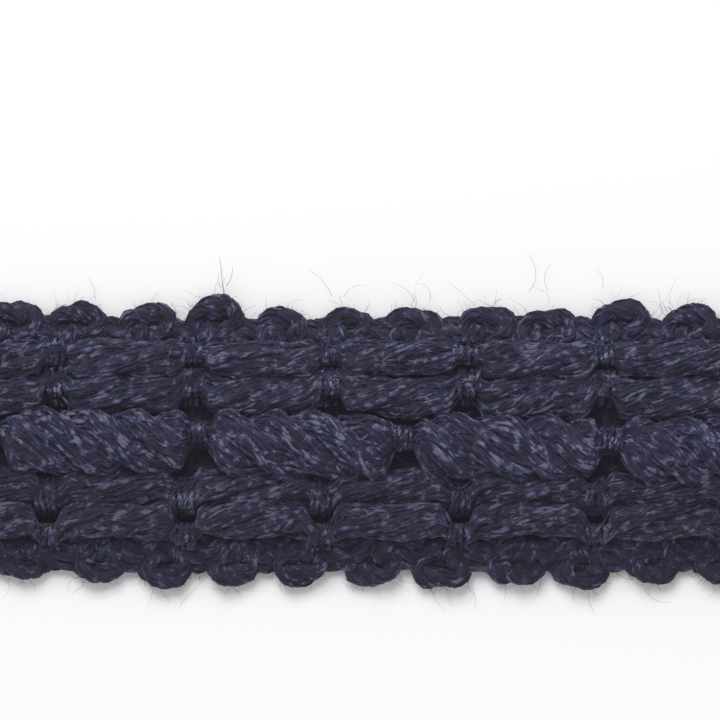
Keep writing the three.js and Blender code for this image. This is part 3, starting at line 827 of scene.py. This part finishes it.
def cord_bands(rng, material):
    """The bands over the cord, each from above it to below it."""
    for k, x in enumerate(CORD_TIE_X):
        middle = yarn_form(CORD, x)[0]
        above = middle + CORD["tied_half"] + CORD_BAND_PAST[0]
        below = middle - CORD["tied_half"] - CORD_BAND_PAST[1]
        shown = [(middle, CORD_SHOWN)]
        thread_band(rng, f"cord_tie_{k + 1}", x, [CORD], [], shown, above, below, CORD_TIE_THREADS, material)


# Stray fibres

def face_height(x, y):
    """Height of the wool's face at places on the trim: the highest yarn there, or the weft's top."""
    height = np.where(np.abs(y) < HALF_WIDTH - CROWN_REACH, 2 * WEFT_HALF_HEIGHT, CROWN_HEIGHT)
    return over_yarns(height, y, [yarn_form(row, x) for row in YARNS])


def fibre_paths(rng, x, y, heading, length, curl, bend, set_bend=0.0):
    """Lines of single fibres in plan: each starts at x, y and its heading turns by small random steps and
    by a steady bend over its length, random about set_bend."""
    count = len(x)
    share = np.linspace(0, 1, FIBRE_POINTS)
    steady = rng.normal(0, bend, (count, 1)) + np.reshape(set_bend, (-1, 1))
    turned = np.cumsum(rng.normal(0, curl, (count, FIBRE_POINTS)), axis=1) + steady * share
    angle = heading[:, None] + turned
    step = length[:, None] / (FIBRE_POINTS - 1)
    along_x = x[:, None] + np.cumsum(step * np.cos(angle), axis=1)
    along_y = y[:, None] + np.cumsum(step * np.sin(angle), axis=1)
    return along_x, along_y, share


def fibre_tubes(rng, x, y, z, thick, share):
    """Fibres of three sides along their paths, thinner by FIBRE_TAPER share squared."""
    paths = np.stack([x, y, z], axis=-1)
    outward = np.broadcast_to([0.0, 0.0, 1.0], paths.shape)
    radius = thick[:, None] * (1 - FIBRE_TAPER * share**2)
    tone = np.broadcast_to(rng.uniform(*FIBRE_TONES, (len(x), 1)), radius.shape)
    run = np.linalg.norm(np.diff(paths[0], axis=0), axis=1).sum() * share
    return tube_rings(paths, outward, radius, 3), tone, tube_lie(rng, run, radius, 3)


def face_fuzz(rng, material):
    """Fibres that lie over the wool's face, mostly along the yarns."""
    fuzz = FACE_FUZZ
    count = fuzz["count"]
    x = rng.uniform(-HALF_LENGTH + FUZZ_MARGIN, HALF_LENGTH - FUZZ_MARGIN, count)
    y = rng.uniform(-fuzz["reach"], fuzz["reach"], count)
    heading = rng.normal(0, fuzz["aslant"], count) + math.pi * rng.integers(0, 2, count)
    length = rng.uniform(*fuzz["length"], count)
    path_x, path_y, share = fibre_paths(rng, x, y, heading, length, fuzz["curl"], fuzz["bend"])
    lift = np.abs(rng.normal(0, fuzz["lift"], (count, 1))) * np.sin(math.pi * share) + fuzz["clear"]
    path_z = face_height(np.clip(path_x, -HALF_LENGTH, HALF_LENGTH), path_y) + lift
    fibres = fibre_tubes(rng, path_x, path_y, path_z, rng.uniform(*fuzz["radius"], count), share)
    tube_piece("face_fuzz", [fibres], material, "side_yarn")


def edge_fuzz(rng, material):
    """Short fibres that head out round the loops, a few long ones that curl past them, and long hairs."""
    fuzz = EDGE_FUZZ_FORM
    tubes = []
    loops = [place for place in loop_places() if abs(place[0]) < HALF_LENGTH - FUZZ_MARGIN]
    for count_a_loop, shortest, typical, curl, thickest in EDGE_FUZZ:
        place = np.repeat(np.array(loops), count_a_loop, axis=0)
        count = len(place)
        round_turn = rng.uniform(-fuzz["past_half"], math.pi + fuzz["past_half"], count)
        past = WEFT_RADIUS * rng.uniform(*fuzz["outside"], count)
        x = place[:, 0] + (LOOP_HALF_GAP + past) * np.cos(round_turn)
        turn_y = place[:, 1] - WEFT_RADIUS - LOOP_TURN_HEIGHT
        y = place[:, 2] * (turn_y + (LOOP_TURN_HEIGHT + past) * np.sin(round_turn))
        heading = place[:, 2] * (round_turn + rng.normal(0, fuzz["aslant"], count))
        length = shortest + rng.gamma(2.0, typical, count)
        path_x, path_y, share = fibre_paths(rng, x, y, heading, length, curl, fuzz["bend"])
        start_z = rng.uniform(*fuzz["height"], (count, 1))
        path_z = between(start_z, start_z + rng.normal(0, fuzz["rise"], (count, 1)), share)
        path_z = np.maximum(path_z, fuzz["lowest"])
        thick = rng.uniform(*fuzz["sizes"], count) * thickest
        tubes.append(fibre_tubes(rng, path_x, path_y, path_z, thick, share))
    x, y, heading, length, bend, thick = np.array(LONG_HAIRS).T
    path_x, path_y, share = fibre_paths(rng, x, y, np.radians(heading), length, HAIR_CURL, 0.0, bend)
    path_z = between(HAIR_HEIGHT, HAIR_HEIGHT + rng.normal(0, HAIR_RISE, (len(x), 1)), share)
    tubes.append(fibre_tubes(rng, path_x, path_y, path_z, thick, share))
    tube_piece("edge_fuzz", tubes, material, "ground")


# The floor, the light and the camera

def make_stage():
    """A square floor that runs past every view, painted matt, so that it only takes shadows."""
    half = 0.6
    mesh = bpy.data.meshes.new("floor")
    corners = [(-half, -half, 0), (half, -half, 0), (half, half, 0), (-half, half, 0)]
    mesh.from_pydata(corners, [], [(0, 1, 2, 3)])
    mesh.materials.append(new_material("matt_pale_floor", Base_Color=linear("f6f6f7"), Roughness=0.9)[0])
    add_object("floor", mesh)


def make_light():
    """A white room, and a soft lamp high beyond the upper edge that looks at the trim."""
    world = bpy.data.worlds.new("soft_room")
    world.use_nodes = True
    background = world.node_tree.nodes["Background"]
    background.inputs["Color"].default_value = linear("ffffff")
    background.inputs["Strength"].default_value = 0.6
    bpy.context.scene.world = world
    lamp = bpy.data.lights.new("softbox", "AREA")
    lamp.size = 0.3
    lamp.energy = 2.2
    softbox = add_object("softbox", lamp)
    softbox.location = (-0.1, 0.34, 0.46)
    x, y, z = softbox.location
    softbox.rotation_euler = (math.atan2(math.hypot(x, y), z), 0, math.atan2(-x, y) + math.pi)


def make_camera():
    """A long lens straight above, at the photograph's scale. Its place is set, not measured."""
    data = bpy.data.cameras.new("camera")
    data.sensor_width = SENSOR
    data.lens = SENSOR * CAMERA_HEIGHT / PHOTO_SIDE
    data.clip_start = 0.01
    camera = add_object("camera", data)
    camera.location = (0, BRAID_BELOW_MIDDLE * MM, CAMERA_HEIGHT * MM)
    bpy.context.scene.camera = camera
    view = bpy.context.scene.view_settings
    view.view_transform = "Standard"
    view.use_curve_mapping = True
    view.curve_mapping.black_level = (-0.009, -0.009, -0.012)  # a little glare in the lens
    view.curve_mapping.update()


make_camera()
make_stage()
make_light()

side_wool = wool("navy_side_yarn_wool", "171526", "232239", "302d4a", "59576d")
# Painted shade: the lower side yarns and their binding threads are coloured a shade darker, to darken the
# lower half of the trim
shaded_lower_side_wool = wool("navy_lower_side_yarn_wool", "151223", "211e35", "2c2a41", "524f66")
cord_wool = wool("navy_cord_wool", "1a172a", "282540", "353251", "626177")
weft_wool = wool("navy_weft_wool", "171426", "22203b", "312e49", "58566c")
# Painted shade: the edge yarns are coloured darker, for the shade in the notches between the loops
edge_wool = wool("navy_edge_yarn_wool", "161326", "211d38", "2d2a44", "49475b")
thread_wool = wool("navy_binding_thread_wool", "1a192d", "2e2c4a", "454266", "808094", fleck=1.8)
# painted shade: the lower binding threads are coloured darker too
shaded_lower_thread_wool = wool("navy_lower_binding_thread_wool", "161527", "26243d", "373552", "626276", fleck=1.6)
# Painted shade: the ground cloth is coloured near black, so that the holes where it shows read as deep shade
ground_wool = wool("navy_ground_cloth_wool", "0b0913", "110f1b", "161422", "1b1b24", sheen=0.1)
fibre_wool = wool("navy_stray_fibre_wool", "1d1b2e", "312e50", "3f3c5e", "5f5f74")

seeded = np.random.default_rng
for number, row in enumerate(SIDE_YARNS):
    material = side_wool if row["y"] > 0 else shaded_lower_side_wool
    straight_yarn(seeded(11 + number), row, SIDE_TWIST, material, "side_yarn")
straight_yarn(seeded(21), CORD, CORD_TWIST, cord_wool, "cord")
weft_piece(seeded(31), weft_wool)
ground_cloth(ground_wool)
side_bands(seeded(41), thread_wool, shaded_lower_thread_wool)
cord_bands(seeded(51), thread_wool)
edge_yarns(seeded(61), edge_wool)
face_fuzz(seeded(71), fibre_wool)
edge_fuzz(seeded(81), fibre_wool)
